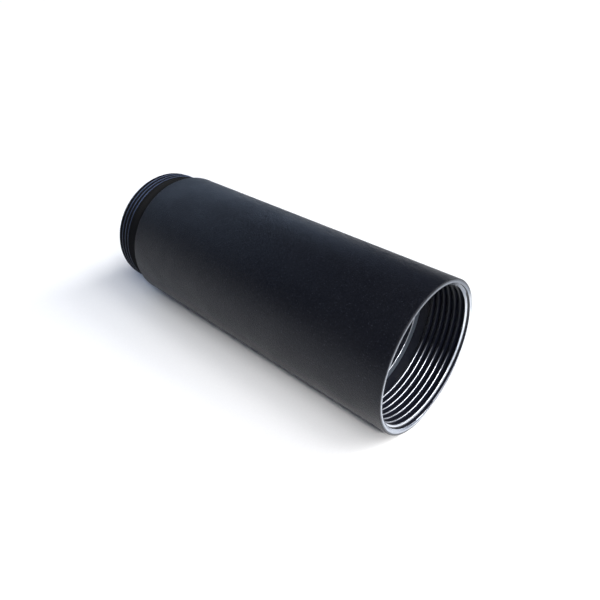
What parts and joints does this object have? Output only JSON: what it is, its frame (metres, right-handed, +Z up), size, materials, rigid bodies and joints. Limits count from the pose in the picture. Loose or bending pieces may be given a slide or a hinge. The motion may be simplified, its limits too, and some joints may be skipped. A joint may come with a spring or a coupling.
{
  "type": "laser collimator",
  "caption": "Cylindrical two-inch laser collimator for aligning telescope mirrors, threaded at both ends, with a tilting laser cell, target and battery inside.",
  "frame": {"origin": "on the tube's axis in the plane of the open mouth's rim", "axes": "+X along the tube and out of the open mouth, the way the beam leaves; +Z up; +Y completes the right-handed frame"},
  "size_m": [0.1326, 0.0508, 0.0508],
  "materials": {
    "anodised_tube": "bead-blasted matt black anodised aluminium; machined faces satin black with bright edges",
    "black_aluminium": "satin black anodised",
    "clear_aluminium": "fine turned",
    "brass_turned": "fine turned",
    "steel_dark": "black oxide",
    "steel_bright": "polished",
    "steel_spring": "drawn wire",
    "target_white": "matt with printed black rings",
    "window_glass": "clear coated",
    "lens_glass": "clear coated",
    "seal_rubber": "matt black nitrile",
    "acetal_white": "natural acetal",
    "board_green": "solder mask over glass fibre",
    "chip_black": "moulded epoxy",
    "capacitor_can": "drawn can with a black sector",
    "gold_contact": "gold plated",
    "battery_label": "plain shrink sleeve",
    "battery_steel": null
  },
  "bodies": {
    "housing": {"housing_tube": "anodised_tube", "lock_ring": "black_aluminium", "target_disc": "target_white", "front_plate": "black_aluminium", "exit_window": "window_glass", "window_gasket": "seal_rubber", "gimbal_frame": "black_aluminium", "yaw_pivot_pins": "steel_bright", "yaw_spring": "steel_spring", "pitch_spring": "steel_spring", "board_spacer": "acetal_white", "driver_board": "board_green", "regulator_chip": "chip_black", "board_capacitor": "capacitor_can", "positive_contact": "gold_contact", "battery_sleeve": "acetal_white", "battery_can": "battery_steel", "battery_wrap": "battery_label", "battery_terminal": "battery_steel", "contact_spring": "steel_spring"},
    "gimbal": {"gimbal_ring": "clear_aluminium", "pitch_pivot_pins": "steel_bright"},
    "laser": {"laser_cell": "clear_aluminium", "module_grub_screws": "steel_dark", "module_barrel": "brass_turned", "diode_can": "gold_contact", "diode_leads": "gold_contact", "diode_board": "board_green", "focus_spring": "steel_spring"},
    "lens": {"lens_cell": "black_aluminium", "collimating_lens": "lens_glass"},
    "focus": {"focus_nut": "brass_turned"},
    "yaw_tip": {"yaw_ball": "steel_bright"},
    "yaw_adjuster": {"yaw_screw": "steel_dark"},
    "pitch_tip": {"pitch_ball": "steel_bright"},
    "pitch_adjuster": {"pitch_screw": "steel_dark"},
    "cap_contact": {"contact_disc": "brass_turned"},
    "cap": {"rear_cap": "black_aluminium", "cap_seal": "seal_rubber"}
  },
  "joints": [
    {"name": "yaw_tilt", "type": "hinge", "parent": "housing", "child": "gimbal", "pos_m": [-0.056, 0, 0], "axis": [0, 0, 1], "range_deg": [-1.44, 1.44], "deforming": ["yaw_spring"]},
    {"name": "pitch_tilt", "type": "hinge", "parent": "gimbal", "child": "laser", "pos_m": [-0.056, 0, 0], "axis": [0, 1, 0], "range_deg": [-1.44, 1.44], "deforming": ["pitch_spring"]},
    {"name": "yaw_travel", "type": "slide", "parent": "housing", "child": "yaw_tip", "axis": [1, 0, 0], "range_m": [-0.00042, 0.00042]},
    {"name": "yaw_turn", "type": "hinge", "parent": "yaw_tip", "child": "yaw_adjuster", "pos_m": [-0.0285, 0.0165, 0], "axis": [1, 0, 0], "range_deg": [-300, 300]},
    {"name": "pitch_travel", "type": "slide", "parent": "housing", "child": "pitch_tip", "axis": [1, 0, 0], "range_m": [-0.00042, 0.00042]},
    {"name": "pitch_turn", "type": "hinge", "parent": "pitch_tip", "child": "pitch_adjuster", "pos_m": [-0.0285, 0, 0.0165], "axis": [1, 0, 0], "range_deg": [-300, 300]},
    {"name": "focus_travel", "type": "slide", "parent": "laser", "child": "lens", "axis": [1, 0, 0], "range_m": [-0.0005, 0.0005], "deforming": ["focus_spring"]},
    {"name": "focus_turn", "type": "hinge", "parent": "lens", "child": "focus", "pos_m": [-0.0426, 0, 0], "axis": [1, 0, 0], "range_deg": [-361, 361]},
    {"name": "cap_travel", "type": "slide", "parent": "housing", "child": "cap_contact", "axis": [-1, 0, 0], "range_m": [0, 0.005], "deforming": ["contact_spring"]},
    {"name": "cap_turn", "type": "hinge", "parent": "cap_contact", "child": "cap", "pos_m": [-0.127, 0, 0], "axis": [-1, 0, 0], "range_deg": [0, 1439]}
  ],
  "couplings": [
    {"joint": "yaw_travel", "follows": "yaw_tilt", "m_per_rad": -0.0165},
    {"joint": "yaw_turn", "follows": "yaw_tilt", "ratio": -207.35},
    {"joint": "pitch_travel", "follows": "pitch_tilt", "m_per_rad": 0.0165},
    {"joint": "pitch_turn", "follows": "pitch_tilt", "ratio": 207.35},
    {"joint": "focus_turn", "follows": "focus_travel", "rad_per_m": 12566},
    {"joint": "cap_travel", "follows": "cap_turn", "m_per_rad": 0.00019894}
  ]
}
